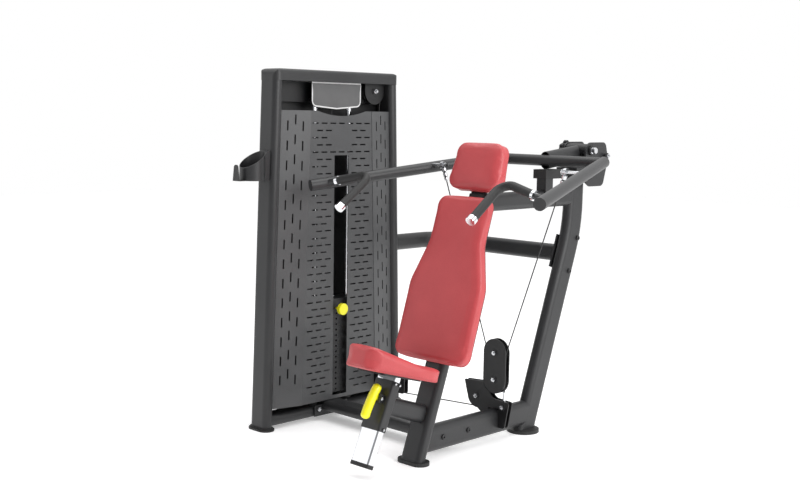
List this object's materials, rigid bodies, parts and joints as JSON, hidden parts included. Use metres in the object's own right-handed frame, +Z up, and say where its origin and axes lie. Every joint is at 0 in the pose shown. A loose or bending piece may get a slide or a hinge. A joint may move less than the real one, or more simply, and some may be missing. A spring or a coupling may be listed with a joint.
{
  "type": "seated shoulder press machine",
  "caption": "Seated press machine with a padded seat and back, a hinged press arm with grips, a pulley block and cable, and a pin-selected weight stack in a slotted tower.",
  "frame": {"origin": "centre of the front foot's sole, on the floor", "axes": "+X to the seated user's left, away from the weight tower; the user faces -Y; +Z up"},
  "size_m": [1.4824, 1.4937, 1.558],
  "materials": {
    "frame_paint": "satin charcoal powder coat",
    "sheet_paint": "satin mid-grey powder coat",
    "placard": "matt grey plate with a pale border, left blank",
    "black_steel": "black powder coat",
    "weights": "black-painted steel plate",
    "chrome": "polished chrome",
    "rubber": "matt black rubber",
    "pulley": "black nylon",
    "cable": "black coated cable",
    "yellow": "bright yellow plastic",
    "red_vinyl": "red vinyl over foam",
    "pad_board": "black board"
  },
  "bodies": {
    "frame": {"tower_front_upright": "frame_paint", "tower_rear_upright": "frame_paint", "tower_cap": "frame_paint", "tower_feet": "rubber", "tower_base_rail": "frame_paint", "front_shroud": "sheet_paint", "rear_cover": "sheet_paint", "placard": "placard", "guide_rods": "chrome", "head_frame": "black_steel", "bottom_pulley_bracket": "black_steel", "stack_bumpers": "rubber", "weight_plates": "weights", "drive_cable": "cable", "stack_cable": "cable", "cup_holder": "frame_paint", "floor_tube": "frame_paint", "base_beam": "frame_paint", "user_feet": "rubber", "front_post": "frame_paint", "rear_column": "frame_paint", "top_beam": "frame_paint", "mid_beam": "frame_paint", "pivot_bracket": "frame_paint", "pivot_axle": "chrome", "stop_block": "rubber", "low_pulley_bracket": "black_steel", "cable_anchor": "chrome", "lift_cables": "cable", "seat_sleeve": "frame_paint", "back_pad": "red_vinyl", "head_pad": "red_vinyl"},
    "press_arm": {"press_arm_left": "frame_paint", "press_arm_right": "frame_paint", "grip_bar_left": "frame_paint", "grip_bar_right": "frame_paint", "press_crossbar": "frame_paint", "press_spine": "frame_paint", "pivot_hub": "black_steel", "grip_sleeve_left": "rubber", "grip_sleeve_right": "rubber", "grip_collars": "chrome", "cable_lugs": "chrome"},
    "cable_leg_left": {"v_cable_left": "cable"},
    "cable_leg_right": {"v_cable_right": "cable"},
    "pulley_block": {"block_plates": "black_steel", "block_cable": "cable"},
    "block_upper_wheel": {"block_upper_pulley": "pulley"},
    "block_lower_wheel": {"block_lower_pulley": "pulley"},
    "low_wheel": {"low_pulley": "pulley"},
    "bottom_wheel": {"bottom_pulley": "pulley"},
    "top_centre_wheel": {"top_pulley_centre": "pulley"},
    "top_rear_wheel": {"top_pulley_rear": "pulley"},
    "lifted_stack": {"lifted_weights": "weights", "selector_stem": "chrome"},
    "selector": {"selector_pin": "yellow"},
    "seat": {"seat_pad": "red_vinyl", "seat_plate": "black_steel", "seat_tube": "chrome"},
    "lever": {"lock_lever": "yellow"}
  },
  "joints": [
    {"name": "press_hinge", "type": "hinge", "parent": "frame", "child": "press_arm", "pos_m": [0, 1.04, 1.226], "axis": [-1, 0, 0], "range_deg": [0, 22]},
    {"name": "leg_left_hinge", "type": "hinge", "parent": "press_arm", "child": "cable_leg_left", "pos_m": [0.33, 0.5, 1.156], "axis": [-1, 0, 0], "range_deg": [-23, 0]},
    {"name": "leg_right_hinge", "type": "hinge", "parent": "press_arm", "child": "cable_leg_right", "pos_m": [-0.33, 0.5, 1.156], "axis": [-1, 0, 0], "range_deg": [-23, 0]},
    {"name": "block_slide", "type": "slide", "parent": "frame", "child": "pulley_block", "axis": [0, 0, 1], "range_m": [0, 0.2114], "deforming": ["lift_cables"]},
    {"name": "stack_slide", "type": "slide", "parent": "frame", "child": "lifted_stack", "axis": [0, 0, 1], "range_m": [0, 0.4188], "deforming": ["stack_cable"]},
    {"name": "block_upper_spin", "type": "hinge", "parent": "pulley_block", "child": "block_upper_wheel", "pos_m": [0, 0.5, 0.377], "axis": [0, 1, 0], "continuous": true},
    {"name": "block_lower_spin", "type": "hinge", "parent": "pulley_block", "child": "block_lower_wheel", "pos_m": [0, 0.5, 0.262], "axis": [0, 1, 0], "range_deg": [0, 253]},
    {"name": "low_spin", "type": "hinge", "parent": "frame", "child": "low_wheel", "pos_m": [-0.096, 0.5, 0.176], "axis": [0, 1, 0], "range_deg": [-501, 0]},
    {"name": "bottom_spin", "type": "hinge", "parent": "frame", "child": "bottom_wheel", "pos_m": [-0.74, 0.5, 0.141], "axis": [0, 1, 0], "range_deg": [-501, 0]},
    {"name": "top_rear_spin", "type": "hinge", "parent": "frame", "child": "top_rear_wheel", "pos_m": [-0.788, 0.51149, 1.475], "axis": [1, 0, 0], "range_deg": [-501, 0]},
    {"name": "top_centre_spin", "type": "hinge", "parent": "frame", "child": "top_centre_wheel", "pos_m": [-0.788, 0.306, 1.475], "axis": [1, 0, 0], "range_deg": [-501, 0]},
    {"name": "selector_pull", "type": "slide", "parent": "lifted_stack", "child": "selector", "axis": [1, 0, 0], "range_m": [0, 0.09]},
    {"name": "seat_slide", "type": "slide", "parent": "frame", "child": "seat", "axis": [0, 0.4067, 0.9135], "range_m": [0, 0.11]},
    {"name": "lever_hinge", "type": "hinge", "parent": "frame", "child": "lever", "pos_m": [0, -0.21016, 0.30041], "axis": [1, 0, 0], "range_deg": [0, 12], "stiffness_Nm_per_rad": 3, "springref_deg": -11.46}
  ],
  "couplings": [
    {"joint": "leg_left_hinge", "follows": "press_hinge", "ratio": -0.9756},
    {"joint": "leg_right_hinge", "follows": "press_hinge", "ratio": -0.9756},
    {"joint": "block_slide", "follows": "press_hinge", "m_per_rad": 0.5401},
    {"joint": "stack_slide", "follows": "press_hinge", "m_per_rad": 1.0802},
    {"joint": "block_lower_spin", "follows": "press_hinge", "ratio": 11.252},
    {"joint": "low_spin", "follows": "press_hinge", "ratio": -22.504},
    {"joint": "bottom_spin", "follows": "press_hinge", "ratio": -22.504},
    {"joint": "top_rear_spin", "follows": "press_hinge", "ratio": -22.504},
    {"joint": "top_centre_spin", "follows": "press_hinge", "ratio": -22.504}
  ]
}
